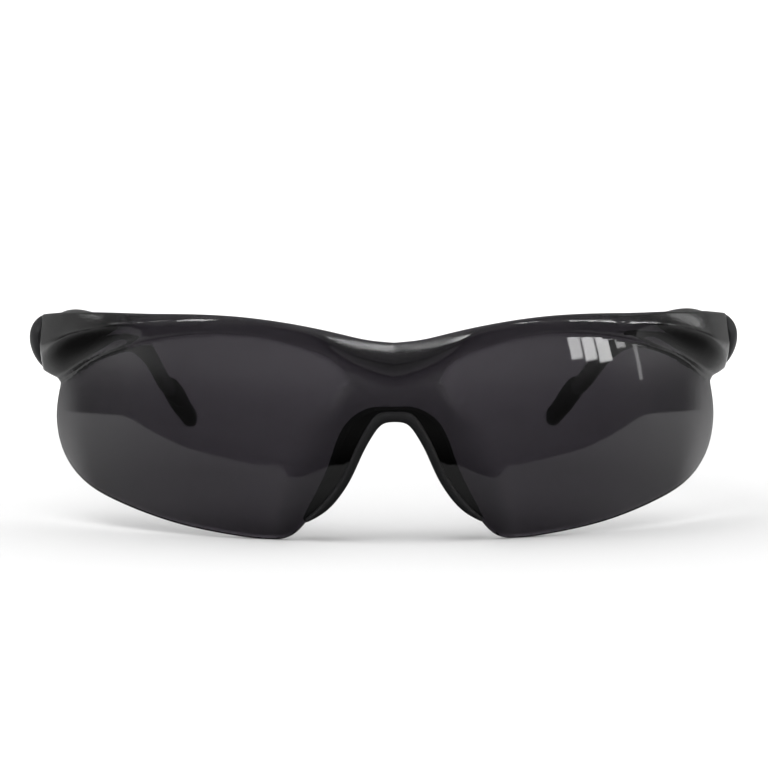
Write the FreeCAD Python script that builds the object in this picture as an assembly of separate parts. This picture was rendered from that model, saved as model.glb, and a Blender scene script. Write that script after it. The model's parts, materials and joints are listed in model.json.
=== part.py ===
"""Wrap-around safety glasses with a one-piece smoked shield, as separate pieces.

The shield is one polycarbonate moulding: a spherical lens, a thick brow along its top
edge and a lug at each end. A soft saddle grips the nose notch. Each temple is a smoked
arm with a black cover over its hinge end and a soft black tip, and it folds on a screw
held by a nut in the lug.

Units are millimetres. The wearer looks along -Y, so +X is the wearer's left; +Z is up.
The origin is the crown of the nose saddle, on the mirror plane. Left-hand pieces are
modelled and the right-hand ones are their mirror images.
"""

import FreeCAD
import Part
import math
import os
from FreeCAD import Vector

# ---- driving dimensions ----------------------------------------------------------
OVERALL_WIDTH = 150.0      # over the two temple covers
LENS_RADIUS = 78.0         # front face of the lens, a sphere
LENS_THICKNESS = 2.2
LENS_APEX_Y = -5.0         # foremost point of the lens
RECESS_DEPTH = 0.35        # the clear area lies this far below the brow band
FOOT_Z = -22.65            # small flats the shield stands on

PIN_X, PIN_Y = 66.8, 47.2  # hinge axis of the left temple
EAR_RADIUS = 3.3
EAR_THICKNESS = 3.0
KNUCKLE_Z0, KNUCKLE_Z1 = 12.25, 15.75
KNUCKLE_RADIUS = 3.2
HINGE_GAP = 0.10           # between an ear and the knuckle, along the pin

SCREW_RADIUS = 1.0
SCREW_HEAD_RADIUS = 1.9
SCREW_HEAD_HEIGHT = 0.8
SCREW_SLOT = 0.5           # width and depth of the driver slot
NUT_FLATS = 3.6
NUT_HEIGHT = 1.5
RUNNING = 0.06             # radial clearance of the knuckle on the screw
SEATED = 0.03              # clearance of pieces that sit in one another

TEMPLE_Y = 42.8            # temple stations are measured back from here
ARM_FACE = 8.0             # station of the arm's square front end
COVER_INNER_X = OVERALL_WIDTH / 2 - 3.1

# ---- derived ---------------------------------------------------------------------
CENTRE = Vector(0, LENS_APEX_Y + LENS_RADIUS, 0)
EAR_TOP = KNUCKLE_Z1 + HINGE_GAP + EAR_THICKNESS
EAR_BOTTOM = KNUCKLE_Z0 - HINGE_GAP - EAR_THICKNESS
FAR = 200.0                # larger than the object

# ---- outlines on the lens, as (x, z) seen from the front ----------------------------
BROW_LINE = [(0, 14.0), (10.9, 15.7), (21.5, 17.8), (34.2, 19.0), (48, 19.0), (60, 18.6)]
LUG_TOP = [(60, 18.6), (66.5, 15.5)]
LUG_SIDE = [(66.5, 15.5), (67.0, 6.2)]
LOWER_EDGE = [(67.0, 6.2), (68.7, -1.5), (67.7, -6.9), (64.0, -12.4), (54.3, -17.4), (42, -20.75),
              (31, -22.4), (24.5, -22.9), (19.6, -22.0), (16.6, -19.1)]
NOTCH = [(16.6, -19.1), (12.6, -15.5), (8.8, -10.0), (5.8, -3.55), (3.65, -0.5), (0, 0.9)]
CLEAR_AREA_TOP = [(69, 6.0), (65.5, 7.1), (60, 10.6), (54, 13.2), (45, 15.4), (33, 16.45),
                  (22, 15.3), (15.5, 13.4), (10.3, 10.6), (8.3, 7.4)]
CLEAR_AREA_SIDE = [(8.3, 7.4), (9.0, 1.0), (12.5, -8.0), (18.5, -19.5), (20, -27)]
CLEAR_AREA_BELOW = [(20, -27), (45, -26), (66, -17), (71, -4), (69, 6.0)]

# Saddle outlines: what shows inside the notch, the front lip, and the rear of the wings.
SADDLE_INNER = [(0, 0), (2.0, -0.3), (4.0, -2.4), (6.0, -6.0), (8.0, -10.4), (10.0, -13.7),
                (12.0, -16.1), (14.0, -17.7), (16.0, -18.8)]
SADDLE_LIP = [(0, 1.9), (3.1, 1.5), (5.1, -0.8), (7.7, -5.8), (9.4, -9.6), (11.6, -13.0),
              (13.8, -15.7), (16.5, -18.2)]
SADDLE_REAR_INNER = [(0, 0.6), (3.6, -0.3), (6.0, -3.0), (8.2, -7.0), (10.2, -11.0),
                     (12.4, -14.3), (14.4, -16.7), (16.2, -18.5)]
SADDLE_REAR_OUTER = [(0, 2.3), (4.6, 2.0), (8.3, -0.3), (11.9, -8.1), (14.1, -13.0),
                     (16.2, -17.0), (16.9, -18.4)]
SADDLE_LIP_THICKNESS = 0.8
SADDLE_FRONT_Y, SADDLE_REAR_Y = -7.0, 6.5

# Brow stations: angle round the lens, underside z, top z, proud in front, proud behind.
BROW_STATIONS = [
    (0, 10.5, 14.9, 1.5, 0.8),
    (8, 13.3, 16.6, 1.4, 0.8),
    (16, 15.2, 18.7, 1.2, 0.8),
    (26, 16.4, 20.0, 1.1, 0.8),
    (38, 14.9, 20.2, 1.2, 1.0),
    (48, 12.1, 20.05, 1.7, 2.0),
    (56, 9.4, 20.0, 2.2, 3.4),
    (62, 8.0, 19.95, 1.8, 4.2),
    (66, 7.6, 19.9, 0.3, 4.4),
]

# Temple stations: distance back, centre x, width, underside z, top z.
ARM_STATIONS = [
    (8, 69.9, 3.4, 9.3, 19.3),
    (20, 67.6, 3.4, 10.9, 20.9),
    (40, 63.7, 3.2, 12.0, 19.0),
    (55, 60.8, 3.0, 10.9, 16.9),
    (67, 58.4, 3.0, 7.9, 13.4),
    (78, 56.4, 3.0, 3.1, 8.4),
    (93.5, 53.7, 3.0, -2.2, 1.5),
]
TONGUE_STATIONS = [(92, 54.0, 2.2, -1.0, 1.4), (102, 52.4, 2.1, -5.2, -2.6), (111, 51.1, 1.9, -9.0, -6.6)]
TIP_STATIONS = [
    (92, 54.0, 4.0, -2.6, 3.1),
    (96, 53.3, 4.4, -4.4, 1.6),
    (104, 52.1, 4.5, -7.8, -2.2),
    (112, 51.0, 4.2, -10.8, -5.6),
    (117, 50.6, 3.0, -11.6, -7.6),
    (118.6, 50.5, 1.4, -10.9, -8.9),
]
# Cover stations: distance back, inner x, outer x, underside z, top z.
COVER_STATIONS = [
    (-3.6, 71.0, 72.6, 11.9, 17.2),
    (-1.6, 71.0, 74.3, 8.6, 19.5),
    (1.5, 71.0, 75.0, 7.6, 20.0),
    (8.0, 70.6, 74.4, 8.3, 20.1),
    (16.0, 68.6, 72.0, 10.6, 19.7),
    (25.0, 66.8, 69.7, 12.8, 18.9),
    (34.0, 65.2, 67.1, 15.0, 17.6),
]
# Half of the cover's leaf-shaped section: outwards 0..1, height -1..1.
COVER_LEAF = [(0, 1), (0.55, 0.86), (0.93, 0.5), (1, 0.12), (0.83, -0.33), (0.45, -0.72), (0, -1)]


# ---- helpers -----------------------------------------------------------------------
def spline(points):
    """An edge through the points."""
    curve = Part.BSplineCurve()
    curve.interpolate(points)
    return curve.toShape()


def on_lens(x, z):
    """The point of the lens's front face seen at (x, z) from straight ahead."""
    return Vector(x, CENTRE.y - math.sqrt(LENS_RADIUS**2 - x * x - z * z), z)


def mirrored(points):
    """The same outline on the other side, in reverse order so that it carries on."""
    return [(-x, z) for x, z in reversed(points)]


def across(half):
    """A half outline that starts or ends on the mirror plane, made whole."""
    if half[0][0] == 0:
        return mirrored(half)[:-1] + half
    return half + mirrored(half)[1:]


def lens_block(segments):
    """A block whose sides stand square to the lens, from closed outline segments on it."""
    wires = []
    for plane_y in (CENTRE.y - 5.0, LENS_APEX_Y - 20.0):
        edges = []
        for segment in segments:
            points = []
            for x, z in segment:
                ray = on_lens(x, z) - CENTRE
                points.append(CENTRE + ray * ((plane_y - CENTRE.y) / ray.y))
            edges.append(spline(points))
        wires.append(Part.Wire(edges))
    return Part.makeLoft(wires, True, True)


def lens_shell(outwards, inwards):
    """A spherical layer from outwards mm in front of the lens's face to inwards behind it."""
    outer = Part.makeSphere(LENS_RADIUS + outwards, CENTRE, Vector(0, 0, 1), -90, 90, 360)
    inner = Part.makeSphere(LENS_RADIUS - inwards, CENTRE, Vector(0, 0, 1), -90, 90, 360)
    return outer.cut(inner)


def oval(centre_u, half_u, centre_v, half_v, to_3d, power=2.6, count=16):
    """A closed smooth superellipse; to_3d turns its (u, v) into a point."""
    points = []
    for i in range(count):
        a = 2 * math.pi * i / count
        c, s = math.cos(a), math.sin(a)
        u = centre_u + half_u * math.copysign(abs(c) ** (2 / power), c)
        v = centre_v + half_v * math.copysign(abs(s) ** (2 / power), s)
        points.append(to_3d(u, v))
    curve = Part.BSplineCurve()
    curve.interpolate(points, PeriodicFlag=True)
    return Part.Wire([curve.toShape()])


def temple_loft(stations, grow=0.0, power=3.2):
    """A smooth bar through oval sections square to Y, optionally grown all round and behind."""
    wires = []
    for back, x, width, low, high in stations:
        y = TEMPLE_Y + back
        if back == stations[-1][0]:
            y += grow
        wires.append(oval(x, width / 2 + grow, (low + high) / 2, (high - low) / 2 + grow,
                          lambda u, v, y=y: Vector(u, y, v), power))
    return Part.makeLoft(wires, True, False)


def cylinder(x, y, z0, z1, radius):
    return Part.makeCylinder(radius, z1 - z0, Vector(x, y, z0))


def box(x0, x1, y0, y1, z0, z1):
    return Part.makeBox(x1 - x0, y1 - y0, z1 - z0, Vector(x0, y0, z0))


def hexagon(x, y, z0, z1, flats):
    radius = flats / math.sqrt(3)
    points = [Vector(x + radius * math.cos(math.radians(60 * i)),
                     y + radius * math.sin(math.radians(60 * i)), z0) for i in range(7)]
    return Part.Face(Part.makePolygon(points)).extrude(Vector(0, 0, z1 - z0))


def other_side(shape):
    """The mirror image on the other side of the glasses."""
    return shape.mirror(Vector(0, 0, 0), Vector(1, 0, 0))


# ---- front -------------------------------------------------------------------------
def lens_outline():
    return [across(BROW_LINE), LUG_TOP, LUG_SIDE, LOWER_EDGE, across(NOTCH)[::-1],
            mirrored(LOWER_EDGE), mirrored(LUG_SIDE), mirrored(LUG_TOP)]


def lens_plate():
    """The lens between brow and lower edge, with both clear areas recessed."""
    plate = lens_shell(0, LENS_THICKNESS).common(lens_block(lens_outline()))
    clear = lens_shell(8.0, RECESS_DEPTH).common(
        lens_block([CLEAR_AREA_TOP, CLEAR_AREA_SIDE, CLEAR_AREA_BELOW]))
    return plate.cut(clear).cut(other_side(clear))


def brow():
    """The thick bar along the top, which grows into a lug at each end."""
    stations = [(-a, *rest) for a, *rest in reversed(BROW_STATIONS[1:])] + BROW_STATIONS
    wires = []
    for angle, low, high, proud, behind in stations:
        a = math.radians(angle)
        middle = (low + high) / 2
        face = math.sqrt(LENS_RADIUS**2 - middle**2)
        front, back = face + proud, face - LENS_THICKNESS - behind
        wires.append(oval((front + back) / 2, (front - back) / 2, middle, (high - low) / 2,
                          lambda r, z, a=a: Vector(r * math.sin(a), CENTRE.y - r * math.cos(a), z),
                          2.8))
    return Part.makeLoft(wires, True, False)


def hinge_ears():
    """The two ears behind the left lug that carry the screw."""
    ears = None
    for z0, z1 in ((EAR_BOTTOM, EAR_BOTTOM + EAR_THICKNESS), (EAR_TOP - EAR_THICKNESS, EAR_TOP)):
        ear = cylinder(PIN_X, PIN_Y, z0, z1, EAR_RADIUS)
        ear = ear.fuse(box(PIN_X - EAR_RADIUS, PIN_X + 4.4, PIN_Y - 7.0, PIN_Y, z0, z1))
        ears = ear if ears is None else ears.fuse(ear)
    bore = cylinder(PIN_X, PIN_Y, EAR_BOTTOM - 1, EAR_TOP + 1, SCREW_RADIUS + SEATED)
    head = cylinder(PIN_X, PIN_Y, EAR_TOP - SCREW_HEAD_HEIGHT - SEATED, EAR_TOP + 1,
                    SCREW_HEAD_RADIUS + SEATED)
    pocket = hexagon(PIN_X, PIN_Y, EAR_BOTTOM - 1, EAR_BOTTOM + NUT_HEIGHT + SEATED,
                     NUT_FLATS + 2 * SEATED)
    return ears.cut(bore).cut(head).cut(pocket)


def front_shield():
    """Lens, brow, lugs and hinge ears, which are one moulding."""
    room = cylinder(PIN_X, PIN_Y, EAR_BOTTOM - 5, EAR_TOP + 5, EAR_RADIUS)
    body = lens_plate().fuse(brow())
    body = body.cut(room).cut(other_side(room))
    body = body.fuse(hinge_ears()).fuse(other_side(hinge_ears()))
    feet = box(-FAR, FAR, -FAR, FAR, FOOT_Z - 10, FOOT_Z)
    return body.cut(feet).removeSplitter()


# ---- nose saddle -------------------------------------------------------------------
def band_wire(inner, outer, y):
    """The closed outline of an arched band between two edges, at one depth."""
    whole_inner = [Vector(x, y, z) for x, z in across(inner)]
    whole_outer = [Vector(x, y, z) for x, z in across(outer)]
    return Part.Wire([spline(whole_inner), Part.makeLine(whole_inner[-1], whole_outer[-1]),
                      spline(whole_outer[::-1]), Part.makeLine(whole_outer[0], whole_inner[0])])


def nose_saddle():
    """A soft channel on the notch's edge, with wings that flare back along the nose."""
    lip = Part.Face(band_wire(SADDLE_INNER, SADDLE_LIP, SADDLE_FRONT_Y - 5))
    lip = lip.extrude(Vector(0, 20, 0)).common(
        lens_shell(SADDLE_LIP_THICKNESS, LENS_THICKNESS + 1.0))
    wings = Part.makeLoft([band_wire(SADDLE_INNER, SADDLE_LIP, SADDLE_FRONT_Y),
                           band_wire(SADDLE_REAR_INNER, SADDLE_REAR_OUTER, SADDLE_REAR_Y)],
                          True, True)
    behind = Part.makeSphere(LENS_RADIUS - LENS_THICKNESS - SEATED, CENTRE,
                             Vector(0, 0, 1), -90, 90, 360)
    edge = [(x - math.copysign(SEATED, x) if x else 0, z - SEATED) for x, z in across(NOTCH)]
    above = [edge[-1], (-45, -20), (0, 40), (45, -20), edge[0]]
    grip = lens_shell(SEATED, LENS_THICKNESS + SEATED).common(lens_block([edge, above]))
    return lip.cut(grip).fuse(wings.common(behind)).removeSplitter()


# ---- temples (left-hand side) -------------------------------------------------------
def temple_arm():
    """Smoked arm with the hinge knuckle at its front and a thin tongue inside the tip."""
    arm = temple_loft(ARM_STATIONS).fuse(temple_loft(TONGUE_STATIONS))
    knuckle = cylinder(PIN_X, PIN_Y, KNUCKLE_Z0, KNUCKLE_Z1, KNUCKLE_RADIUS)
    reach = box(PIN_X - 1.3, PIN_X + 3.6, PIN_Y, TEMPLE_Y + ARM_FACE + 2.0, KNUCKLE_Z0, KNUCKLE_Z1)
    bore = cylinder(PIN_X, PIN_Y, KNUCKLE_Z0 - 1, KNUCKLE_Z1 + 1, SCREW_RADIUS + RUNNING)
    return arm.fuse(knuckle).fuse(reach).cut(bore).removeSplitter()


def temple_cover():
    """Black leaf-shaped cover outside the hinge, which dies out along the arm."""
    wires = []
    for back, inner, outer, low, high in COVER_STATIONS:
        y = TEMPLE_Y + back
        points = [Vector(inner + u * (outer - inner), y, (low + high) / 2 + v * (high - low) / 2)
                  for u, v in COVER_LEAF]
        wires.append(Part.Wire([spline(points), Part.makeLine(points[-1], points[0])]))
    shell = Part.makeLoft(wires, True, False)
    inside = box(-FAR, COVER_INNER_X, -FAR, TEMPLE_Y + ARM_FACE, -FAR, FAR)
    return shell.cut(inside).cut(temple_loft(ARM_STATIONS, SEATED))


def temple_tip():
    """Soft sleeve over the arm's tongue, with a rounded end."""
    arm_end = temple_loft(ARM_STATIONS, SEATED)
    return temple_loft(TIP_STATIONS, 0, 2.6).cut(arm_end).cut(temple_loft(TONGUE_STATIONS, SEATED))


def hinge_screw():
    """Slotted steel screw that is the temple's axle."""
    top = EAR_TOP
    shank = cylinder(PIN_X, PIN_Y, EAR_BOTTOM + 0.2, top - SCREW_HEAD_HEIGHT, SCREW_RADIUS)
    head = cylinder(PIN_X, PIN_Y, top - SCREW_HEAD_HEIGHT, top, SCREW_HEAD_RADIUS)
    slot = box(PIN_X - 3, PIN_X + 3, PIN_Y - SCREW_SLOT / 2, PIN_Y + SCREW_SLOT / 2,
               top - SCREW_SLOT, top + 1)
    return shank.fuse(head).cut(slot)


def hinge_nut():
    """Brass hexagon nut pressed into the lower ear."""
    nut = hexagon(PIN_X, PIN_Y, EAR_BOTTOM, EAR_BOTTOM + NUT_HEIGHT, NUT_FLATS)
    return nut.cut(cylinder(PIN_X, PIN_Y, EAR_BOTTOM - 1, EAR_TOP, SCREW_RADIUS + 0.02))


def main():
    os.makedirs("parts", exist_ok=True)
    pieces = {"front_shield": front_shield(), "nose_saddle": nose_saddle()}
    for name, make in (("temple_arm", temple_arm), ("temple_cover", temple_cover),
                       ("temple_tip", temple_tip), ("hinge_screw", hinge_screw),
                       ("hinge_nut", hinge_nut)):
        shape = make()
        pieces["left_" + name] = shape
        pieces["right_" + name] = other_side(shape)
    for name, shape in pieces.items():
        print(name, "solids", len(shape.Solids), "valid", shape.isValid(),
              "volume", round(shape.Volume, 1))
        shape.exportStep(os.path.join("parts", name + ".step"))


main()
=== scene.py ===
"""Smoke-tinted wrap-around safety glasses in soft studio light."""

import json
import math

import bmesh
import bpy
import numpy as np
from mathutils import Matrix, Vector
from mathutils.geometry import delaunay_2d_cdt
from mathutils.kdtree import KDTree

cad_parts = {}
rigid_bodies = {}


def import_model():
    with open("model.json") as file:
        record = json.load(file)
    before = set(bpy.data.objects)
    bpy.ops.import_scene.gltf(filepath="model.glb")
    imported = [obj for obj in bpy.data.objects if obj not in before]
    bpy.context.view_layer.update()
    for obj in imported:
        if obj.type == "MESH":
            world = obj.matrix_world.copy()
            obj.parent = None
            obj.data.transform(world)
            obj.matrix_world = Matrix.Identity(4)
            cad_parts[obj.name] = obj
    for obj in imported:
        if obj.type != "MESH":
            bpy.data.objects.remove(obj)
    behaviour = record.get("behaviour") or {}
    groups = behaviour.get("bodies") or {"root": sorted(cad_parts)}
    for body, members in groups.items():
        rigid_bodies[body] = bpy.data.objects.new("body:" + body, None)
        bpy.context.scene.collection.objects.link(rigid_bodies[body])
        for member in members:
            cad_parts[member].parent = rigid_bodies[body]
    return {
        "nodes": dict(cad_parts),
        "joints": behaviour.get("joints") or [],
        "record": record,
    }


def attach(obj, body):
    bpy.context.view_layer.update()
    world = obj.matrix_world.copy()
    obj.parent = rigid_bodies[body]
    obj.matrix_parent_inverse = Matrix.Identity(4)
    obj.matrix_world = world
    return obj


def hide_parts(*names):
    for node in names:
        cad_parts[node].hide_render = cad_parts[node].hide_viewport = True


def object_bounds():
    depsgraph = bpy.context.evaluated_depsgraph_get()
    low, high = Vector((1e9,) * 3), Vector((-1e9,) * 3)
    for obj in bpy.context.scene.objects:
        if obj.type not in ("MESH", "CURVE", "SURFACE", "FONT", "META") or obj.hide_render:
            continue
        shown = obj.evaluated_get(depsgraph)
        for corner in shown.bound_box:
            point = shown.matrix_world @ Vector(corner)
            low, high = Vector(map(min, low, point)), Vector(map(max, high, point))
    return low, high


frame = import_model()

NODES = frame["nodes"]
CAD_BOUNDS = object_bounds()

# ---- camera and stage ----
CAMERA_AZIMUTH = -1.9          # degrees round the object, 0 looks along +Y
CAMERA_ELEVATION = 2.5
CAMERA_ROLL = -0.1
CAMERA_DISTANCE = 0.380        # metres from the aim point
CAMERA_LENS = 84.2             # mm, on a 36 mm sensor
AIM = Vector((-0.0004, 0.0428, 0.0050))
FLOOR_MIDDLE_Y = 0.06
FLOOR_FLAT = 0.35              # metres, the radius of the flat part
FLOOR_RADIUS = 2.6
FLOOR_RISE = 1.5
FLOOR_RINGS, FLOOR_SPOKES = 60, 64
FLOOR_PAINTED_LIGHT = (0.12, 0.6, 0.66, 0.93)   # near and far radius, and the floor's colour at each: painted light, darker near the object and lighter far away


# ---- node helpers ----
class Shader:
    """A small builder for one material's or world's node tree."""

    def __init__(self, tree):
        self.tree = tree
        tree.nodes.clear()

    def add(self, kind, **inputs):
        node = self.tree.nodes.new(kind)
        for name, value in inputs.items():
            self.set(node, name.replace("_", " "), value)
        return node

    def set(self, node, name, value):
        socket = node.inputs[name]
        if isinstance(value, bpy.types.NodeSocket):
            self.tree.links.new(value, socket)
        else:
            socket.default_value = value

    def math(self, operation, a, b=0.0, clamp=False):
        node = self.tree.nodes.new("ShaderNodeMath")
        node.operation = operation
        node.use_clamp = clamp
        for socket, value in zip(node.inputs, (a, b)):
            if isinstance(value, bpy.types.NodeSocket):
                self.tree.links.new(value, socket)
            else:
                socket.default_value = value
        return node.outputs[0]

    def ramp(self, value, low, high, to_low, to_high, smooth=True):
        """value from low..high mapped to to_low..to_high, held outside."""
        node = self.tree.nodes.new("ShaderNodeMapRange")
        node.interpolation_type = "SMOOTHSTEP" if smooth else "LINEAR"
        for name, v in (("Value", value), ("From Min", low), ("From Max", high),
                        ("To Min", to_low), ("To Max", to_high)):
            self.set(node, name, v)
        return node.outputs["Result"]

    def table(self, value, pairs):
        """value looked up in rising (value, result) pairs, with straight lines between them."""
        bottom, top = min(r for _, r in pairs), max(r for _, r in pairs)
        low, high = pairs[0][0], pairs[-1][0]
        node = self.add("ShaderNodeValToRGB", Fac=self.ramp(value, low, high, 0.0, 1.0, False))
        stops = node.color_ramp.elements
        stops[0].color = grey((pairs[0][1] - bottom) / (top - bottom))
        stops[1].color = grey((pairs[-1][1] - bottom) / (top - bottom))
        for at, result in pairs[1:-1]:
            stops.new((at - low) / (high - low)).color = grey((result - bottom) / (top - bottom))
        return self.ramp(node.outputs["Color"], 0.0, 1.0, bottom, top, False)

    def lerp(self, factor, a, b):
        """a where factor is 0, b where it is 1."""
        return self.math("ADD", self.math("MULTIPLY", self.math("SUBTRACT", 1.0, factor), a),
                         self.math("MULTIPLY", factor, b))

    def mix(self, factor, a, b):
        node = self.tree.nodes.new("ShaderNodeMix")
        node.data_type = "RGBA"
        for index, v in ((0, factor), (6, a), (7, b)):
            if isinstance(v, bpy.types.NodeSocket):
                self.tree.links.new(v, node.inputs[index])
            else:
                node.inputs[index].default_value = v
        return node.outputs[2]

    def noise(self, scale, detail=3.0, roughness=0.5, vector=None):
        node = self.add("ShaderNodeTexNoise", Scale=scale, Detail=detail, Roughness=roughness)
        self.set(node, "Vector", vector or self.place())
        return node.outputs["Fac"]

    def place(self):
        """Rest-pose object coordinates, in metres."""
        return self.add("ShaderNodeTexCoord").outputs["Object"]

    def bump(self, height, strength, distance):
        return self.add("ShaderNodeBump", Height=height, Strength=strength,
                        Distance=distance).outputs["Normal"]


def new_material(name):
    material = bpy.data.materials.new(name)
    material.use_nodes = True
    return material, Shader(material.node_tree)


def grey(value):
    return (value, value, value, 1.0)


# ---- materials ----
SHIELD_SMOKE, ARM_SMOKE = 1905.0, 4200.0   # absorption per metre
SMOKE_COLOUR = (0.03, 0.0, 0.05, 1.0)      # the little that each metre's absorption lets by
POLYCARBONATE_IOR = 1.586
GRAIN_ROUGHNESS = 0.12                     # added above the crease, where the mould was grained
SHARP_ANGLE = math.radians(35)


def smoked_polycarbonate(name, density):
    """Clear moulding stock with a neutral smoke tint that deepens with thickness."""
    material, s = new_material(name)
    haze = s.ramp(s.noise(180.0, 5.0, 0.6), 0.35, 0.75, 0.012, 0.05)
    grained = s.add("ShaderNodeAttribute")
    grained.attribute_name = "grain"
    grain = grained.outputs["Fac"]
    ripple = s.bump(s.noise(55.0, 1.0), 0.15, 0.0002)
    stipple = s.add("ShaderNodeBump", Height=s.noise(3800.0, 2.0), Distance=0.00003, Normal=ripple,
                    Strength=s.math("MULTIPLY", grain, 0.5)).outputs["Normal"]
    roughness = s.math("ADD", haze, s.math("MULTIPLY", grain, GRAIN_ROUGHNESS))
    surface = s.add("ShaderNodeBsdfPrincipled", Base_Color=grey(1.0), IOR=POLYCARBONATE_IOR,
                    Normal=stipple, Roughness=roughness)
    s.set(surface, "Transmission Weight", 1.0)
    tint = s.add("ShaderNodeVolumeAbsorption", Color=SMOKE_COLOUR, Density=density)
    out = s.add("ShaderNodeOutputMaterial")
    s.set(out, "Surface", surface.outputs["BSDF"])
    s.set(out, "Volume", tint.outputs["Volume"])
    return material


def plastic(name, colour, roughness, grain, grain_depth):
    """Dull black stock, a little paler and rougher where it has been handled."""
    material, s = new_material(name)
    fine = s.noise(grain, 2.0)
    wear = s.noise(90.0, 4.0)
    surface = s.add("ShaderNodeBsdfPrincipled",
                    Base_Color=s.mix(wear, (*colour, 1.0), (*[c * 1.5 for c in colour], 1.0)),
                    Roughness=s.ramp(wear, 0.3, 0.7, roughness, roughness + 0.12),
                    Normal=s.bump(fine, 0.35, grain_depth))
    s.set(surface, "Specular IOR Level", 0.35)
    out = s.add("ShaderNodeOutputMaterial")
    s.set(out, "Surface", surface.outputs["BSDF"])
    return material


def metal(name, colour, roughness):
    """Bare metal with fine turning marks."""
    material, s = new_material(name)
    turned = s.noise(2500.0, 2.0)
    surface = s.add("ShaderNodeBsdfPrincipled", Base_Color=(*colour, 1.0), Metallic=1.0,
                    Roughness=s.ramp(turned, 0.3, 0.7, roughness, roughness + 0.2),
                    Normal=s.bump(turned, 0.3, 0.00002))
    out = s.add("ShaderNodeOutputMaterial")
    s.set(out, "Surface", surface.outputs["BSDF"])
    return material


def dress(obj, material):
    obj.data.materials.clear()
    obj.data.materials.append(material)
    obj.data.shade_smooth()
    obj.data.set_sharp_from_angle(angle=SHARP_ANGLE)


# ---- outlines, in mm as (x, z) seen from the front; the same shape the CAD solid holds ----
LENS_RADIUS = 78.0
LENS_APEX_Y = -5.0
LENS_THICKNESS = 2.2
CENTRE = (0.0, LENS_APEX_Y + LENS_RADIUS, 0.0)
RECESS_DEPTH = 0.35
EDGE_RADIUS = 0.55
FINE_STEP, COARSE_STEP = 0.52, 1.1   # mesh spacing in the brow and in the lens
FINE_BELOW_CREASE = 5.5        # how far below the crease the fine mesh reaches
RIM_ROWS = (0.07, 0.2, 0.42, 0.75)            # rows of points beside the outline,
STEP_ROWS = (-0.12, 0.0, 0.13, 0.3)           # beside the top of the clear area
CREASE_ROWS = (-0.3, -0.14, 0.0, 0.14, 0.3)   # and beside the crease
ROW_SPACING = (0.05, 0.5, 0.32, 0.4)          # closest two points may be: rim, step, crease, fill
FOOT_Z = -22.65

TOP_EDGE = [(0, 14.9), (5, 15.4), (10, 16.5), (20, 18.5), (30, 19.75), (42, 20.2), (54, 20.05),
            (64, 19.7)]
LOWER_EDGE = [(67.5, 5.9), (68.7, -1.5), (67.7, -6.9), (64.0, -12.4), (54.3, -17.4), (42, -20.75),
              (31, -22.4), (24.5, -22.9), (19.6, -22.0), (17.3, -20.0), (16.6, -19.1)]
NOTCH = [(16.6, -19.1), (12.6, -15.5), (8.8, -10.0), (5.8, -3.55), (3.65, -0.5), (0, 0.9)]
CREASE = [(0, 10.5), (4, 11.3), (9.2, 13.2), (13, 15.1), (19.6, 17.3), (29, 18.55), (36, 18.75),
          (42, 18.55), (48.4, 17.9), (55.8, 16.6), (61, 15.0), (63.8, 13.8), (67.5, 12.0), (71.5, 10.9)]
# Each lug turns back along the temple, so its outline is (arc round the lens, z).
LUG_END = [(93.4, 19.0), (94.4, 18.3), (94.9, 14.0), (94.9, 9.8), (94.3, 8.6)]
LUG_UNDERSIDE = [(94.3, 8.6), (90.2, 8.1), (86.2, 7.2), (83.4, 6.6)]
LUG_SIDE_X = 71.75             # flat side beside the temple's cover
CLEAR_TOP = [(69, 5.2), (65.5, 7.1), (60, 10.6), (54, 13.2), (45, 15.4), (33, 16.45),
             (22, 15.3), (15.5, 13.4), (10.3, 10.6), (8.3, 7.4)]
CLEAR_SIDE = [(8.3, 7.4), (9.0, 1.0), (12.5, -8.0), (18.5, -19.5), (20, -27)]

# Brow profile along x: how far the crease stands out, how far the facet above it falls back,
# how wide the band below it is and how curved, how round the crease is, and how much of its
# rise the back follows. Each lug is filled in behind.
BROW_X = [0, 10, 20, 32, 45, 56, 64, 72]
BROW_PEAK = [1.0, 0.85, 0.5, 0.42, 0.6, 2.7, 3.8, 3.7]
BROW_DROP = [1.5, 1.3, 0.7, 0.55, 0.55, 0.8, 0.8, 0.2]
BROW_BAND = [4.2, 3.3, 2.4, 2.25, 2.9, 3.6, 4.7, 5.4]
BROW_POWER = [1.9, 1.7, 1.2, 1.1, 1.1, 1.5, 1.5, 1.4]
BROW_ROUND = [0.20, 0.2, 0.2, 0.25, 0.35, 0.9, 1.3, 2.2]
BROW_FOLLOW = [0.1, 0.3, 0.85, 0.9, 0.85, 0.85, 0.85, 0.85]
FACET_CURVE = 0.45             # share of the facet's fall that is curved
LUG_FILL = 3.8
LUG_FILL_X = (51.0, 68.0)
LUG_FILL_FROM = 0.4            # height above the crease where the fill starts
LUG_FILL_LOWER, LUG_FILL_LOWER_X = 1.7, (58.0, 66.0)   # by how much it starts lower outside, and where
LUG_FILL_RISE = 3.4            # height over which it reaches its depth
LUG_SIDE_ROUND = 0.3
# The clear area's step: its width along the top, and how it widens down beside the nose
# and towards the lugs, where it is also shallower.
STEP_BEFORE, STEP_WIDTH = 0.12, 0.25
STEP_NOSE_Z, STEP_NOSE_SLOPE, STEP_NOSE_MOST, STEP_NOSE_X = 7.4, 0.9, 8.0, (18.0, 30.0)
STEP_LUG_X, STEP_LUG_BEFORE, STEP_LUG_WIDTH, STEP_LUG_SHALLOWER = (44.0, 60.0), 0.4, 0.5, 0.4


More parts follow.
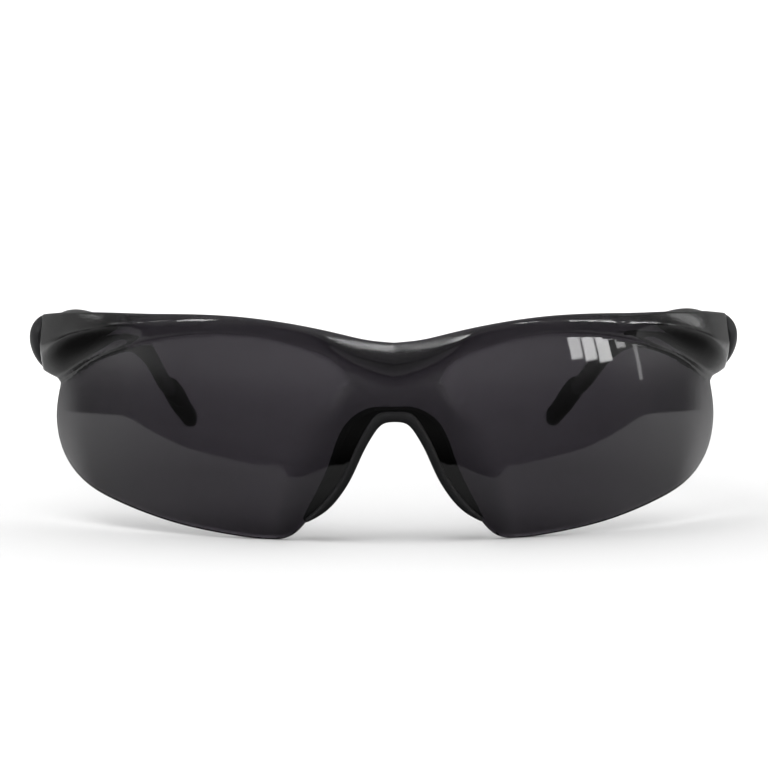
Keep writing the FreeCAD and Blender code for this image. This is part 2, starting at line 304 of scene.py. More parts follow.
def curve_through(points, step):
    """A smooth polyline through (x, z) points, about step mm apart (natural cubic spline)."""
    p = np.array(points, float)
    t = np.concatenate([[0.0], np.cumsum(np.hypot(*np.diff(p, axis=0).T))])
    count = max(2, int(round(t[-1] / step)) + 1)
    at = np.linspace(0.0, t[-1], count)
    return np.stack([spline_value(t, p[:, k], at) for k in (0, 1)], 1)


def spline_value(t, y, at):
    """Natural cubic spline through (t, y), evaluated at the points in at."""
    t, y, at = np.asarray(t, float), np.asarray(y, float), np.asarray(at, float)
    n = len(t)
    if n == 2:
        return np.interp(at, t, y)
    h = np.diff(t)
    system, right = np.eye(n), np.zeros(n)
    for i in range(1, n - 1):
        system[i, i - 1:i + 2] = h[i - 1], 2 * (h[i - 1] + h[i]), h[i]
        right[i] = 6 * ((y[i + 1] - y[i]) / h[i] - (y[i] - y[i - 1]) / h[i - 1])
    m = np.linalg.solve(system, right)
    k = np.clip(np.searchsorted(t, at) - 1, 0, n - 2)
    a, b = (t[k + 1] - at) / h[k], (at - t[k]) / h[k]
    return (a * y[k] + b * y[k + 1]
            + ((a**3 - a) * m[k] + (b**3 - b) * m[k + 1]) * h[k]**2 / 6)


def ease(value, low, high):
    t = np.clip((value - low) / (high - low), 0.0, 1.0)
    return t * t * (3 - 2 * t)


def soft_min(a, b, k):
    """The smaller of a and b, blended where they are within k of each other."""
    h = np.clip(0.5 + 0.5 * (b - a) / k, 0.0, 1.0)
    return b * (1 - h) + a * h - k * h * (1 - h)


def to_sheet(points):
    """(x, z) on the lens to (arc length round it, z)."""
    x, z = points[:, 0], points[:, 1]
    return np.stack([LENS_RADIUS * np.arcsin(x / np.sqrt(LENS_RADIUS**2 - z**2)), z], 1)


def sheet_x(sheet):
    """The x of sheet points on the lens's face."""
    return np.sqrt(LENS_RADIUS**2 - sheet[:, 1]**2) * np.sin(sheet[:, 0] / LENS_RADIUS)


def from_sheet(sheet, outwards):
    """Sheet points raised outwards mm from the lens's face, as metres in the row frame."""
    phi = sheet[:, 0] / LENS_RADIUS
    psi = np.arcsin(sheet[:, 1] / LENS_RADIUS)
    ray = np.stack([np.sin(phi) * np.cos(psi), -np.cos(phi) * np.cos(psi), np.sin(psi)], 1)
    place = np.array(CENTRE) + ray * (LENS_RADIUS + outwards)[:, None]
    place[:, 2] = np.maximum(place[:, 2], FOOT_Z)
    return place / 1000.0


def distance_to(points, line, closed=False):
    """Distance from each point to a polyline."""
    a = line
    b = np.roll(line, -1, 0) if closed else line[1:]
    a = a if closed else line[:-1]
    best = np.full(len(points), 1e9)
    for p, q in zip(a, b):
        d = q - p
        t = np.clip(((points - p) @ d) / max(d @ d, 1e-12), 0.0, 1.0)
        best = np.minimum(best, np.hypot(*(points - p - t[:, None] * d).T))
    return best


def inside(points, loop):
    """Which points lie in a closed polygon."""
    result = np.zeros(len(points), bool)
    x, z = points.T
    for (x0, z0), (x1, z1) in zip(loop, np.roll(loop, -1, 0)):
        crosses = (z0 > z) != (z1 > z)
        if z0 != z1:
            result ^= crosses & (x < (x1 - x0) * (z - z0) / (z1 - z0) + x0)
    return result


def beside(line, offset):
    """A polyline moved sideways by offset."""
    along = np.gradient(line, axis=0)
    along /= np.hypot(*along.T)[:, None]
    return line + offset * np.stack([-along[:, 1], along[:, 0]], 1)


def half_outline():
    """The left half of the outline on the sheet, from the top middle to the notch's crown."""
    top, lower, notch = (to_sheet(np.array(run, float)) for run in (TOP_EDGE, LOWER_EDGE, NOTCH))
    runs = (np.vstack([top, LUG_END[:1]]), LUG_END, np.vstack([LUG_UNDERSIDE, lower[:1]]), lower,
            notch)
    curves = [curve_through(run, 0.45) for run in runs]
    return np.concatenate([curve[:-1] for curve in curves[:-1]] + [curves[-1]])


def clear_loop():
    """The left clear area's outline, closed below and beyond the lens."""
    far = np.array([(45.0, -32.0), (71.0, -24.0), (76.0, 0.0), (72.0, 3.0)])
    return np.concatenate([curve_through(CLEAR_TOP, 0.4), curve_through(CLEAR_SIDE, 0.8)[1:], far])


def smooth_table(x, values):
    """A brow table's value at x, on a smooth curve that never overshoots its columns."""
    y, knots = np.array(values, float), np.array(BROW_X, float)
    step = np.diff(knots)
    before, after = (np.diff(y) / step)[:-1], (np.diff(y) / step)[1:]
    rising = before * after > 0
    slope = np.zeros(len(y))
    slope[1:-1][rising] = 2 * (before * after)[rising] / (before + after)[rising]
    k = np.clip(np.searchsorted(knots, x) - 1, 0, len(step) - 1)
    t = np.clip((x - knots[k]) / step[k], 0.0, 1.0)
    return (y[k] * (1 + 2 * t) * (1 - t)**2 + y[k + 1] * t * t * (3 - 2 * t)
            + step[k] * t * (1 - t) * (slope[k] * (1 - t) - slope[k + 1] * t))


def crease_height(x):
    return spline_value(*np.array(CREASE, float).T, np.minimum(x, CREASE[-1][0]))


def brow_height(sheet):
    """How far the brow stands out from the lens's face, before the clear area is sunk."""
    x, z = np.abs(sheet_x(sheet)), sheet[:, 1]
    crease = crease_height(x)
    top = spline_value(*np.array(TOP_EDGE, float).T, np.minimum(x, TOP_EDGE[-1][0]))
    peak, drop, band, power, rounding = (smooth_table(x, values) for values in (
        BROW_PEAK, BROW_DROP, BROW_BAND, BROW_POWER, BROW_ROUND))
    below = peak * np.clip(1 - (crease - z) / band, 0.0, 3.0) ** power
    share = (z - crease) / (top - crease)
    curved = FACET_CURVE * np.maximum(share, 0.0) ** 2
    above = peak - drop * ((1 - FACET_CURVE) * share + curved)
    brow = np.maximum(soft_min(below, above, rounding), -LENS_THICKNESS)
    sideways = np.sin(np.abs(sheet[:, 0]) / LENS_RADIUS) * np.sqrt(1 - (z / LENS_RADIUS) ** 2)
    side_limit = LUG_SIDE_X / np.maximum(sideways, 0.5) - LENS_RADIUS
    return soft_min(brow, side_limit, LUG_SIDE_ROUND)


def shield_front(sheet, edge_distance):
    """How far the front surface stands out from the lens's face."""
    x, z = np.abs(sheet_x(sheet)), sheet[:, 1]
    flat = np.stack([x, z], 1)
    loop = clear_loop()
    depth_in = distance_to(flat, loop, closed=True) * np.where(inside(flat, loop), 1, -1)
    beside_nose = 1 - ease(x, *STEP_NOSE_X)
    outer = ease(x, *STEP_LUG_X)
    start = -STEP_BEFORE - STEP_LUG_BEFORE * outer
    lower = np.clip(STEP_NOSE_SLOPE * (STEP_NOSE_Z - z), 0.0, STEP_NOSE_MOST)
    end = STEP_WIDTH + lower * beside_nose + STEP_LUG_WIDTH * outer
    recess = RECESS_DEPTH * (1 - STEP_LUG_SHALLOWER * outer) * ease(depth_in, start, end)
    return brow_height(sheet) - recess - edge_fall(edge_distance)


def shield_back(sheet, edge_distance):
    """How far the back surface lies behind the lens's face."""
    x, z = np.abs(sheet_x(sheet)), sheet[:, 1]
    crease = crease_height(x)
    even = LENS_THICKNESS - smooth_table(x, BROW_FOLLOW) * brow_height(sheet)
    start = crease + LUG_FILL_FROM - LUG_FILL_LOWER * ease(x, *LUG_FILL_LOWER_X)
    filled = LENS_THICKNESS + LUG_FILL * ease(z, start, start + LUG_FILL_RISE)
    share = ease(x, *LUG_FILL_X)
    return even * (1 - share) + filled * share - edge_fall(edge_distance)


def edge_fall(distance):
    """The fall of a rounded edge at a distance in from it."""
    d = np.clip(EDGE_RADIUS - distance, 0.0, EDGE_RADIUS)
    return EDGE_RADIUS - np.sqrt(np.maximum(EDGE_RADIUS**2 - d**2, 0.0))


def shield_points(outline):
    """Mesh points: the outline, rows beside it and beside each feature line, and a fill grid."""
    crease = to_sheet(curve_through(CREASE, 0.5))
    arc = to_sheet(curve_through(CLEAR_TOP, 0.45))
    rims = [beside(outline, -d) for d in RIM_ROWS]
    arcs = [beside(arc, d) for d in STEP_ROWS]
    ridges = [beside(crease, d) for d in CREASE_ROWS]
    arcs, ridges = (np.concatenate([np.concatenate(r) * (side, 1) for side in (1, -1)])
                    for r in (arcs, ridges))
    fine, coarse = lattice(FINE_STEP), lattice(COARSE_STEP)
    fine_from, coarse_to = (crease_height(np.abs(sheet_x(grid))) - FINE_BELOW_CREASE
                            for grid in (fine, coarse))
    fill = np.concatenate([fine[fine[:, 1] > fine_from], coarse[coarse[:, 1] < coarse_to]])
    chosen = [outline]
    for rows, space in zip((np.concatenate(rims), arcs, ridges, fill), ROW_SPACING):
        rows = rows[inside(rows, outline)]
        taken = KDTree(sum(len(c) for c in chosen))
        for i, point in enumerate(np.concatenate(chosen)):
            taken.insert((*point, 0.0), i)
        taken.balance()
        chosen.append(np.array([p for p in rows if taken.find((*p, 0.0))[2] > space]))
    return np.concatenate(chosen)


def lattice(step):
    """A triangular lattice of points over the whole sheet."""
    s, z = np.meshgrid(np.arange(-95, 95, step), np.arange(-24, 21, step * 0.87))
    s = s + (np.arange(len(s)) % 2)[:, None] * step / 2
    return np.stack([s.ravel(), z.ravel()], 1)


def shield_sheet_mesh():
    """The shield without its hinge ears: two curved faces joined round their outline."""
    half = half_outline()
    outline = np.concatenate([half, (half * (-1, 1))[-2:0:-1]])
    points = shield_points(outline)
    count = len(outline)
    edges = [(i, (i + 1) % count) for i in range(count)]
    found = delaunay_2d_cdt([Vector(p) for p in points], edges, [], 0, 0.02)
    flat = np.array([(v.x, v.y) for v in found[0]])
    triangles = np.array(found[2])
    triangles = triangles[inside(flat[triangles].mean(1), outline)]
    corner = flat[triangles]
    area = np.cross(corner[:, 1] - corner[:, 0], corner[:, 2] - corner[:, 0])
    triangles[area < 0] = triangles[area < 0][:, ::-1]
    edge_distance = distance_to(flat, outline, closed=True)
    front = from_sheet(flat, shield_front(flat, edge_distance))
    back = from_sheet(flat, -shield_back(flat, edge_distance))
    total = len(flat)
    faces = [tuple(int(i) for i in t) for t in triangles]
    sides = {}
    for a, b, c in faces:
        for edge in ((a, b), (b, c), (c, a)):
            sides[edge] = True
    rim = [(a, b) for a, b in sides if (b, a) not in sides]
    walls = [(b, a, a + total, b + total) for a, b in rim]
    behind = [(c + total, b + total, a + total) for a, b, c in faces]
    mesh = bpy.data.meshes.new("shield")
    corners = [Vector(v) for v in np.concatenate([front, back])]
    mesh.from_pydata(corners, [], faces + behind + walls)
    grained = ease(flat[:, 1] - crease_height(np.abs(sheet_x(flat))), 0.2, 0.7)
    mesh.attributes.new("grain", "FLOAT", "POINT").data.foreach_set(
        "value", np.concatenate([grained, 0 * grained]))
    tidy_mesh(mesh)
    return mesh


def tidy_mesh(mesh):
    """Drops unused points and makes every face point outwards."""
    work = bmesh.new()
    work.from_mesh(mesh)
    bmesh.ops.delete(work, geom=[v for v in work.verts if not v.link_faces], context="VERTS")
    bmesh.ops.recalc_face_normals(work, faces=work.faces)
    work.to_mesh(mesh)
    work.free()
    mesh.update()


# ---- hinge ears, joined to the shield ----
EAR_RADIUS = 3.3
EAR_HEIGHTS = ((9.15, 12.15), (15.85, 18.85))
EAR_ROOT = [(-3.3, -6.5), (0.0, -6.5), (4.0, -3.0), (4.0, 0.0)]   # from the pin, into the lug
EAR_BEVEL = 0.2
BORE_RADIUS = 1.03
HEAD_SEAT_RADIUS, HEAD_SEAT_DEPTH = 1.93, 0.83
NUT_POCKET_FLATS, NUT_POCKET_DEPTH = 3.66, 1.53
ROOM_REACH = 3.5               # from the pin to the lug's thin outer wall
ROOM_LENGTH = 9.0              # from the pin to beyond the lug's end


def hinge_pin():
    """The left hinge axis, in mm."""
    joint = next(j for j in frame["joints"] if j["name"] == "left_temple_fold")
    return joint["pos_m"][0] * 1000, joint["pos_m"][1] * 1000


def prism(name, outline, z0, z1, bevel=0.0):
    """An upright block over a plan outline in mm, with its edges rounded over."""
    work = bmesh.new()
    base = [work.verts.new((x / 1000, y / 1000, z0 / 1000)) for x, y in outline]
    face = work.faces.new(base)
    made = bmesh.ops.extrude_face_region(work, geom=[face])
    moved = [v for v in made["geom"] if isinstance(v, bmesh.types.BMVert)]
    bmesh.ops.translate(work, verts=moved, vec=(0, 0, (z1 - z0) / 1000))
    bmesh.ops.recalc_face_normals(work, faces=work.faces)
    if bevel:
        bmesh.ops.bevel(work, geom=list(work.edges), offset=bevel / 1000, segments=2,
                        affect="EDGES")
    mesh = bpy.data.meshes.new(name)
    work.to_mesh(mesh)
    work.free()
    return mesh


def ring(x, y, radius, count=48):
    return [(x + radius * math.cos(2 * math.pi * i / count),
             y + radius * math.sin(2 * math.pi * i / count)) for i in range(count)]


def ear_outline(x, y, side):
    """Plan of one ear: a root in the lug and a round end about the pin."""
    root = [(x + dx, y + dy) for dx, dy in EAR_ROOT]
    return [(side * px, py) for px, py in half_ring(x, y, 0) + root]


def room_outline(x, y, side):
    """Plan of the room the knuckle turns in, open behind."""
    far = y + ROOM_LENGTH
    behind = [(x + ROOM_REACH, y), (x + ROOM_REACH, far), (x - EAR_RADIUS, far)]
    return [(side * px, py) for px, py in half_ring(x, y, math.pi) + behind]


def half_ring(x, y, start):
    """Half a turn about the pin at the ears' radius."""
    return [(x + EAR_RADIUS * math.cos(start + math.pi * i / 24),
             y + EAR_RADIUS * math.sin(start + math.pi * i / 24)) for i in range(25)]


def apply_boolean(obj, cutters, operation):
    """Joins the cutters to obj or cuts them from it, and deletes them."""
    group = bpy.data.collections.new("operands")
    bpy.context.scene.collection.children.link(group)
    for mesh in cutters:
        group.objects.link(bpy.data.objects.new(mesh.name, mesh))
    modifier = obj.modifiers.new("join", "BOOLEAN")
    modifier.operation = operation
    modifier.operand_type = "COLLECTION"
    modifier.collection = group
    modifier.solver = "EXACT"
    evaluated = obj.evaluated_get(bpy.context.evaluated_depsgraph_get())
    result = bpy.data.meshes.new_from_object(evaluated)
    obj.modifiers.clear()
    obj.data = result
    for cutter in list(group.objects):
        bpy.data.objects.remove(cutter)
    bpy.data.collections.remove(group)


def new_piece(name, mesh, body, node):
    """A visual piece that stands for a CAD node and moves with its body."""
    obj = bpy.data.objects.new(name, mesh)
    bpy.context.scene.collection.objects.link(obj)
    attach(obj, body)
    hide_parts(node)
    return obj


def bored_ear(x, y, side, z0, z1):
    """One ear's mesh, with the holes for the screw and the nut."""
    low, high = EAR_HEIGHTS[0][0], EAR_HEIGHTS[1][1]
    nut = ring(side * x, y, NUT_POCKET_FLATS / math.sqrt(3), 6)
    cuts = [prism("bore", ring(side * x, y, BORE_RADIUS), low - 1, high + 1),
            prism("head_seat", ring(side * x, y, HEAD_SEAT_RADIUS), high - HEAD_SEAT_DEPTH, high + 1),
            prism("nut_pocket", nut, low - 1, low + NUT_POCKET_DEPTH)]
    obj = bpy.data.objects.new("ear", prism("ear", ear_outline(x, y, side), z0, z1, EAR_BEVEL))
    bpy.context.scene.collection.objects.link(obj)
    apply_boolean(obj, cuts, "DIFFERENCE")
    mesh = obj.data
    bpy.data.objects.remove(obj)
    return mesh


def build_shield():
    """The shield, with room cut in each lug for the knuckle and the ears joined on."""
    obj = new_piece("smoked_shield", shield_sheet_mesh(), "front",
                    "front_shield")
    x, y = hinge_pin()
    rooms = [prism("room", room_outline(x, y, side), 0, 30) for side in (1, -1)]
    apply_boolean(obj, rooms, "DIFFERENCE")
    ears = [bored_ear(x, y, side, z0, z1) for side in (1, -1) for z0, z1 in EAR_HEIGHTS]
    apply_boolean(obj, ears, "UNION")
    return obj


# ---- soft pieces ----
SADDLE_INNER = [(0, 0), (2.0, -0.3), (4.0, -2.4), (6.0, -6.0), (8.0, -10.4), (10.0, -13.7),
                (12.0, -16.1), (14.0, -17.7), (16.0, -18.8)]
SADDLE_LIP = [(0, 1.9), (3.1, 1.5), (5.1, -0.8), (7.7, -5.8), (9.4, -9.6), (11.6, -13.0),
              (13.8, -15.7), (16.5, -18.2)]
SADDLE_REAR_INNER = [(0, 0.6), (3.6, -0.3), (6.0, -3.0), (8.2, -7.0), (10.2, -11.0),
                     (12.4, -14.3), (14.4, -16.7), (16.2, -18.5)]
SADDLE_REAR_OUTER = [(0, 2.3), (4.6, 2.0), (8.3, -0.3), (11.9, -8.1), (14.1, -13.0),
                     (16.2, -17.0), (16.9, -18.4)]
SADDLE_MIDDLE_Y, SADDLE_REAR_Y = 2.0, 6.4
SADDLE_END_ROUND = 0.7
SADDLE_STATIONS = 60
SOFT_GAP = 0.04


def along(points, count):
    """count points evenly along the smooth curve through the given ones, mirrored and joined."""
    fine = curve_through(points, 0.1)
    length = np.concatenate([[0.0], np.cumsum(np.hypot(*np.diff(fine, axis=0).T))])
    at = np.linspace(0.0, length[-1], count)
    half = np.stack([np.interp(at, length, fine[:, k]) for k in (0, 1)], 1)
    return np.concatenate([(half * (-1, 1))[:0:-1], half])


def lifted(xz, outwards):
    """Points seen at (x, z), on the lens's face or outwards mm from it, in mm."""
    x, z = xz[:, 0], xz[:, 1]
    base = np.stack([x, CENTRE[1] - np.sqrt(LENS_RADIUS**2 - x**2 - z**2), z], 1)
    ray = (base - np.array(CENTRE)) / LENS_RADIUS
    return base + ray * outwards


def at_depth(xz, y):
    return np.stack([xz[:, 0], np.full(len(xz), float(y)), xz[:, 1]], 1)


def smooth_loop(points, count):
    """A closed Catmull-Rom loop through control points, count samples per span."""
    p = np.array(points, float)
    before, after, beyond = np.roll(p, 1, 0), np.roll(p, -1, 0), np.roll(p, -2, 0)
    out = []
    for i in range(count):
        t = i / count
        square = (2 * before - 5 * p + 4 * after - beyond) * t**2
        cube = (3 * p - before - 3 * after + beyond) * t**3
        out.append(0.5 * (2 * p + (after - before) * t + square + cube))
    return np.stack(out, 1).reshape(-1, p.shape[-1])


def skin_rings(name, rings):
    """A mesh over a list of equal rings of points in mm, closed at both ends."""
    count = len(rings[0])
    points = np.concatenate(rings) / 1000.0
    faces = []
    for r in range(len(rings) - 1):
        for i in range(count):
            j = (i + 1) % count
            faces.append((r * count + i, r * count + j, (r + 1) * count + j, (r + 1) * count + i))
    faces.append(tuple(range(count - 1, -1, -1)))
    faces.append(tuple((len(rings) - 1) * count + i for i in range(count)))
    mesh = bpy.data.meshes.new(name)
    mesh.from_pydata([Vector(p) for p in points], [], faces)
    tidy_mesh(mesh)
    return mesh


def build_saddle():
    """A soft channel on the notch's edge whose wings flare back along the nose."""
    inner, lip = along(SADDLE_INNER, SADDLE_STATIONS), along(SADDLE_LIP, SADDLE_STATIONS)
    rear_in = along(SADDLE_REAR_INNER, SADDLE_STATIONS)
    rear_out = along(SADDLE_REAR_OUTER, SADDLE_STATIONS)
    notch = along(NOTCH[::-1], SADDLE_STATIONS)
    shift = (inner - notch)
    shift /= np.maximum(np.hypot(*shift.T), 0.3)[:, None]
    groove = notch + SOFT_GAP * shift
    behind = -(LENS_THICKNESS + SOFT_GAP)
    flange = lip + 0.8 * (rear_out - lip)
    section = [
        # The lip in front, from its outer edge over its crown to the inside of the arch.
        lifted(lip, SOFT_GAP), lifted(lip + 0.02 * shift, 0.45),
        lifted(0.8 * lip + 0.2 * inner, 0.85), lifted(0.45 * lip + 0.55 * inner, 0.95),
        lifted(0.1 * lip + 0.9 * inner, 0.6), lifted(inner, -0.2),
        # The wing's nose side, its rear end and its outer side.
        lifted(inner + 0.1 * (rear_in - inner), -2.4),
        at_depth(0.45 * inner + 0.55 * rear_in, SADDLE_MIDDLE_Y),
        at_depth(rear_in, SADDLE_REAR_Y - SADDLE_END_ROUND),
        at_depth(0.75 * rear_in + 0.25 * rear_out, SADDLE_REAR_Y),
        at_depth(0.25 * rear_in + 0.75 * rear_out, SADDLE_REAR_Y),
        at_depth(rear_out, SADDLE_REAR_Y - SADDLE_END_ROUND),
        at_depth(0.2 * flange + 0.8 * rear_out, SADDLE_MIDDLE_Y),
        # The flange behind the lens, and the groove round the lens's edge.
        lifted(flange, behind - 0.9), lifted(flange, behind - 0.12),
        lifted(0.9 * flange + 0.1 * groove, behind), lifted(0.1 * flange + 0.9 * groove, behind),
        lifted(groove, behind), lifted(groove, behind + 0.1), lifted(groove, -0.06),
        lifted(groove, SOFT_GAP), lifted(0.9 * groove + 0.1 * lip, SOFT_GAP),
        lifted(0.1 * groove + 0.9 * lip, SOFT_GAP),
    ]
    rings = [smooth_loop([part[i] for part in section], 3) for i in range(len(lip))]
    mesh = skin_rings("soft_nose_saddle", rings)
    return new_piece("soft_nose_saddle", mesh, "front", "nose_saddle")


# Temple sections in mm: distance back, centre x, width, underside z, top z.
TEMPLE_Y = 42.8
ARM_END = [(87, 54.8, 3.0, 0.5, 4.2), (93.55, 53.7, 3.0, -2.2, 1.5)]
TONGUE = [(92, 54.0, 2.2, -1.0, 1.4), (102, 52.4, 2.1, -5.2, -2.6), (111.1, 51.1, 1.9, -9.0, -6.6)]
TIP_POWER, SOCKET_POWER = 2.6, 3.2     # how square the ovals are
TIP = [(92, 54.0, 4.0, -2.6, 3.1), (96, 53.3, 4.4, -4.4, 1.6), (104, 52.1, 4.5, -7.8, -2.2),
       (112, 51.0, 4.2, -10.8, -5.6), (117, 50.6, 3.0, -11.6, -7.6), (118.6, 50.5, 1.4, -10.9, -8.9)]


def temple_section(stations, back, grow, power, side, count=44):
    """The oval of a temple at a distance back, grown all round."""
    table = np.array(stations, float)
    x, width, low, high = (spline_value(table[:, 0], table[:, k], [back])[0] for k in (1, 2, 3, 4))
    a = np.linspace(0, 2 * math.pi, count, endpoint=False)
    c, s = np.cos(a), np.sin(a)
    u = x + (width / 2 + grow) * np.sign(c) * np.abs(c) ** (2 / power)
    v = (low + high) / 2 + ((high - low) / 2 + grow) * np.sign(s) * np.abs(s) ** (2 / power)
    return np.stack([side * u, np.full(count, TEMPLE_Y + back), v], 1)


def build_tip(name, side):
    """Soft sleeve: rounded end, outer skin, rolled mouth, and the socket the arm sits in."""
    rings = []
    for back in np.concatenate([[118.6, 118.5, 118.2, 117.6], np.linspace(116.8, 92.8, 40)]):
        rings.append(temple_section(TIP, back, 0.0, TIP_POWER, side))
    for back, grow in ((92.35, -0.06), (92.1, -0.2), (92.0, -0.42)):
        rings.append(temple_section(TIP, back, grow, TIP_POWER, side))
    for back in (92.05, 92.8, 93.55):
        rings.append(temple_section(ARM_END, back, SOFT_GAP, SOCKET_POWER, side))
    for back in np.linspace(93.6, 111.1, 8):
        rings.append(temple_section(TONGUE, back, SOFT_GAP, SOCKET_POWER, side))
    temple = name.split("_")[0] + "_temple"
    return new_piece(name, skin_rings(name, rings), temple, temple + "_tip")


# ---- stage ----
OVERHEAD_PLACE, OVERHEAD_AIM = Vector((-0.28, -0.22, 0.85)), Vector((0.0, 0.03, 0.0))
OVERHEAD_SIZE, OVERHEAD_POWER = (0.7, 0.6), 3.0
FILL = 1.5                     # brightness of the white surroundings as fill light
# What shiny surfaces see, as (elevation in degrees, brightness): a room above the edge of a
# pale table, the table below it, and the room's far end behind the glasses.
ROOM = [(-17, 0.01), (-11, 0.05), (-6, 0.08), (-2, 0.07), (2, 0.09), (6, 0.16), (9.5, 0.30), (15, 0.39),
        (22, 0.35), (35, 0.28), (60, 0.26), (90, 0.26)]
TABLE = [(-90, 0.04), (-38, 0.05), (-34, 0.09), (-28, 0.20), (-24, 0.27), (-19, 0.30), (-15, 0.35),
         (-10, 0.45), (-3, 0.55), (0, 0.55)]
BEHIND = [(-90, 0.0), (-40, 0.04), (-20, 0.5), (-12, 1.0), (-6, 0.80), (0, 0.58), (4, 0.34),
          (12, 0.32), (90, 0.34)]
# How much brighter the room is to each side, near the horizon and higher up.
ROOM_SIDES_LOW = [(0, 1.0), (72, 1.05), (88, 2.5), (180, 2.5)]
ROOM_SIDES_HIGH = [(0, 1.0), (90, 1.0), (105, 1.4), (180, 1.4)]
# The table's edge, as (degrees away from straight ahead, elevation).
TABLE_EDGE = [(0, -16.9), (42, -16.5), (50, -14.8), (60, -12.6), (66, -11.2), (75, -8.2), (85, -4.2),
              (90, -3.2), (180, -3.2)]
# Windows and lamps, as (from, to) degrees right of straight ahead, (from, to) elevation, brightness.
WINDOWS = [(61.5, 66, 12, 18.5, 7.0), (66.8, 71.5, 11, 18, 8.0), (72.3, 77.5, 10, 17.5, 8.0),
           (80.5, 84, 12.5, 15.5, 4.0), (87, 88.5, 4.5, 16, 2.0), (5, 22, 58, 71, 7.0),
           (-72, -61, 20, 36, 7.0), (-83, -76, 21, 27, 2.0), (-113, -109, 31, 36, 3.0),
           (50, 82, 20, 26, 1.0), (48, 56, 36, 50, 7.0), (108, 116, 18, 40, 1.6)]
TABLE_SIDES = [(0, 1.0), (55, 1.0), (95, 1.4), (110, 1.25), (180, 1.6)]


TABLE_EDGE_BLUR, WINDOW_BLUR = 0.3, 0.4   # degrees
BEHIND_FROM = (110.0, 128.0)   # where the room's far end fades in, degrees from straight ahead
SIDES_HIGH_FROM = (6.0, 20.0)  # where the higher sides take over, degrees of elevation


def within(s, value, low, high, blur):
    """1 between low and high, fading to 0 beyond."""
    return s.math("MULTIPLY", s.ramp(value, low - blur, low + blur, 0.0, 1.0),
                  s.ramp(value, high - blur, high + blur, 1.0, 0.0))


def studio_world():
    """White to the eye, through the lens and as fill light; a room to reflections."""
    world = bpy.data.worlds.new("studio")
    bpy.context.scene.world = world
    world.use_nodes = True
    s = Shader(world.node_tree)
    split = s.add("ShaderNodeSeparateXYZ", Vector=s.add("ShaderNodeTexCoord").outputs["Generated"])
    x, y, z = (split.outputs[axis] for axis in "XYZ")
    elevation = s.math("DEGREES", s.math("ARCSINE", z))
    bearing = s.math("DEGREES", s.math("ARCTAN2", x, s.math("MULTIPLY", y, -1.0)))
    azimuth = s.math("ABSOLUTE", bearing)
    edge = s.math("SUBTRACT", elevation, s.table(azimuth, TABLE_EDGE))
    table = s.math("MULTIPLY", s.table(elevation, TABLE), s.table(azimuth, TABLE_SIDES))
    sides = s.lerp(s.ramp(elevation, *SIDES_HIGH_FROM, 0.0, 1.0), s.table(azimuth, ROOM_SIDES_LOW),
                   s.table(azimuth, ROOM_SIDES_HIGH))
    room = s.math("MULTIPLY", s.table(elevation, ROOM), sides)
    front = s.lerp(s.ramp(edge, -TABLE_EDGE_BLUR, TABLE_EDGE_BLUR, 0.0, 1.0), table, room)
    seen = s.lerp(s.ramp(azimuth, *BEHIND_FROM, 0.0, 1.0), front, s.table(elevation, BEHIND))
    for left, right, low, high, brightness in WINDOWS:
        pane = s.math("MULTIPLY", within(s, bearing, left, right, WINDOW_BLUR),
                      within(s, elevation, low, high, WINDOW_BLUR))
        seen = s.math("ADD", seen, s.math("MULTIPLY", pane, brightness))
    glossy = s.add("ShaderNodeLightPath").outputs["Is Glossy Ray"]
    strength = s.lerp(glossy, FILL, seen)
    background = s.add("ShaderNodeBackground", Color=grey(1.0), Strength=strength)
    out = s.add("ShaderNodeOutputWorld")
    s.set(out, "Surface", background.outputs["Background"])


def floor():
    """A pale floor that is flat under the object and rises gently far away on every side."""
    z = CAD_BOUNDS[0].z
    points, faces = [(0.0, FLOOR_MIDDLE_Y, z)], []
    for r in range(1, FLOOR_RINGS + 1):
        radius = FLOOR_RADIUS * (r / FLOOR_RINGS) ** 1.5
        sloped = max(0.0, (radius - FLOOR_FLAT) / (FLOOR_RADIUS - FLOOR_FLAT))
        for k in range(FLOOR_SPOKES):
            a = 2 * math.pi * k / FLOOR_SPOKES
            points.append((radius * math.cos(a), FLOOR_MIDDLE_Y + radius * math.sin(a),
                           z + FLOOR_RISE * sloped**2))
    for k in range(FLOOR_SPOKES):
        faces.append((0, 1 + k, 1 + (k + 1) % FLOOR_SPOKES))
    for r in range(FLOOR_RINGS - 1):
        for k in range(FLOOR_SPOKES):
            a, b = 1 + r * FLOOR_SPOKES + k, 1 + r * FLOOR_SPOKES + (k + 1) % FLOOR_SPOKES
            faces.append((a, a + FLOOR_SPOKES, b + FLOOR_SPOKES, b))
    mesh = bpy.data.meshes.new("floor")
    mesh.from_pydata(points, [], faces)
    mesh.shade_smooth()
    mesh.materials.append(paper(z))
    obj = bpy.data.objects.new("floor", mesh)
    bpy.context.scene.collection.objects.link(obj)
    obj.visible_glossy = False


def paper(z):
    """The floor's material, with painted light: its colour is darker near the object and lighter with
    distance from it.
    """
    material, s = new_material("floor")
    away = s.add("ShaderNodeVectorMath", Vector=s.place())
    away.operation = "DISTANCE"
    away.inputs[1].default_value = (0.0, FLOOR_MIDDLE_Y, z)
    fibre = s.ramp(s.noise(6.0, 2.0), 0.3, 0.7, 0.98, 1.0)
    # painted light: the floor's colour is darker near the object and lighter far away, over the paper's
    # fine fibre noise
    fibre_and_painted_light = s.math("MULTIPLY", fibre, s.ramp(away.outputs["Value"], *FLOOR_PAINTED_LIGHT))
    colour = s.add("ShaderNodeCombineColor", Red=fibre_and_painted_light, Green=fibre_and_painted_light, Blue=fibre_and_painted_light)
    surface = s.add("ShaderNodeBsdfPrincipled", Base_Color=colour.outputs["Color"], Roughness=0.85)
    out = s.add("ShaderNodeOutputMaterial")
    s.set(out, "Surface", surface.outputs["BSDF"])
    return material


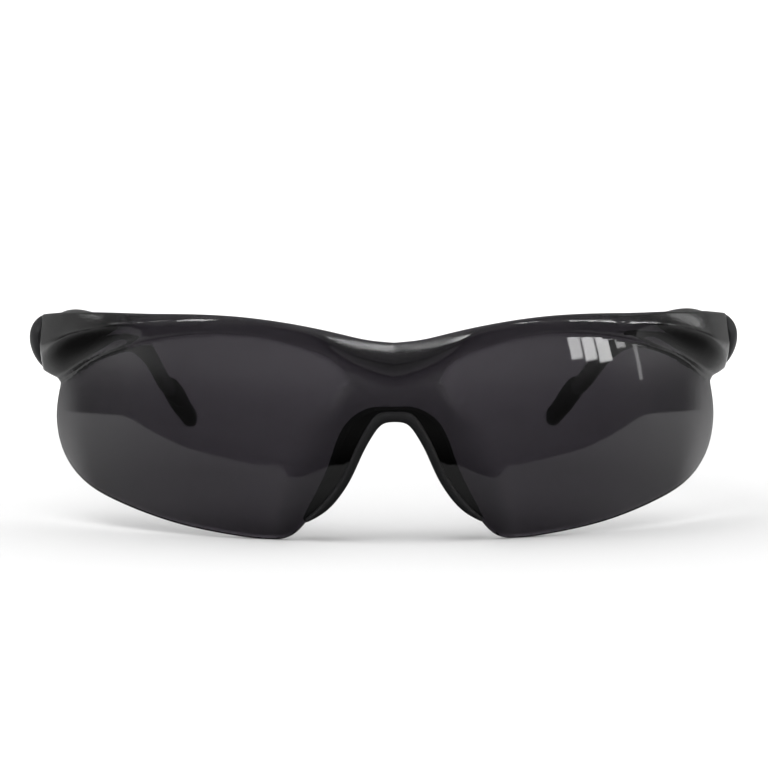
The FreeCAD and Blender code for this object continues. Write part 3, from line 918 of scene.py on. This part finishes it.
def overhead_light():
    """A soft light above the glasses, to the camera's left, that no shiny surface reflects."""
    data = bpy.data.lights.new("overhead", "AREA")
    data.shape = "RECTANGLE"
    data.size, data.size_y = OVERHEAD_SIZE
    data.energy = OVERHEAD_POWER
    obj = bpy.data.objects.new("overhead", data)
    bpy.context.scene.collection.objects.link(obj)
    obj.location = OVERHEAD_PLACE
    obj.rotation_mode = "QUATERNION"
    obj.rotation_quaternion = (OVERHEAD_AIM - OVERHEAD_PLACE).to_track_quat("-Z", "Y")
    obj.visible_camera = False
    obj.visible_glossy = False


def camera():
    a, e = math.radians(CAMERA_AZIMUTH), math.radians(CAMERA_ELEVATION)
    back = Vector((math.sin(a) * math.cos(e), -math.cos(a) * math.cos(e), math.sin(e)))
    data = bpy.data.cameras.new("camera")
    data.lens = CAMERA_LENS
    data.sensor_width = 36.0
    data.clip_start = 0.01
    obj = bpy.data.objects.new("camera", data)
    bpy.context.scene.collection.objects.link(obj)
    obj.location = AIM + back * CAMERA_DISTANCE
    obj.rotation_mode = "QUATERNION"
    turn = Matrix.Rotation(math.radians(CAMERA_ROLL), 4, "Z").to_quaternion()
    obj.rotation_quaternion = (-back).to_track_quat("-Z", "Y") @ turn
    bpy.context.scene.camera = obj


def main():
    scene = bpy.context.scene
    scene.view_settings.view_transform = "Standard"
    shield_smoke = smoked_polycarbonate("smoked_polycarbonate", SHIELD_SMOKE)
    arm_smoke = smoked_polycarbonate("smoked_polycarbonate_arms", ARM_SMOKE)
    rubber = plastic("black_soft_rubber", (0.0055, 0.0055, 0.006), 0.55, 4000.0, 0.00003)
    black = plastic("black_plastic", (0.008, 0.008, 0.009), 0.38, 2500.0, 0.00001)
    steel = metal("screw_steel", (0.62, 0.62, 0.63), 0.25)
    brass = metal("nut_brass", (0.72, 0.53, 0.26), 0.3)
    finish_of = {"smoked_polycarbonate": arm_smoke, "black_soft_rubber": rubber,
                 "black_plastic": black, "screw_steel": steel, "nut_brass": brass}
    soft = [build_saddle(), build_tip("left_soft_tip", 1), build_tip("right_soft_tip", -1)]
    dress(build_shield(), shield_smoke)
    for obj in soft:
        dress(obj, rubber)
    for part in frame["record"]["subparts"]:
        dress(NODES[part["node"]], finish_of[part["material_slot"]])
    studio_world()
    floor()
    overhead_light()
    camera()


main()
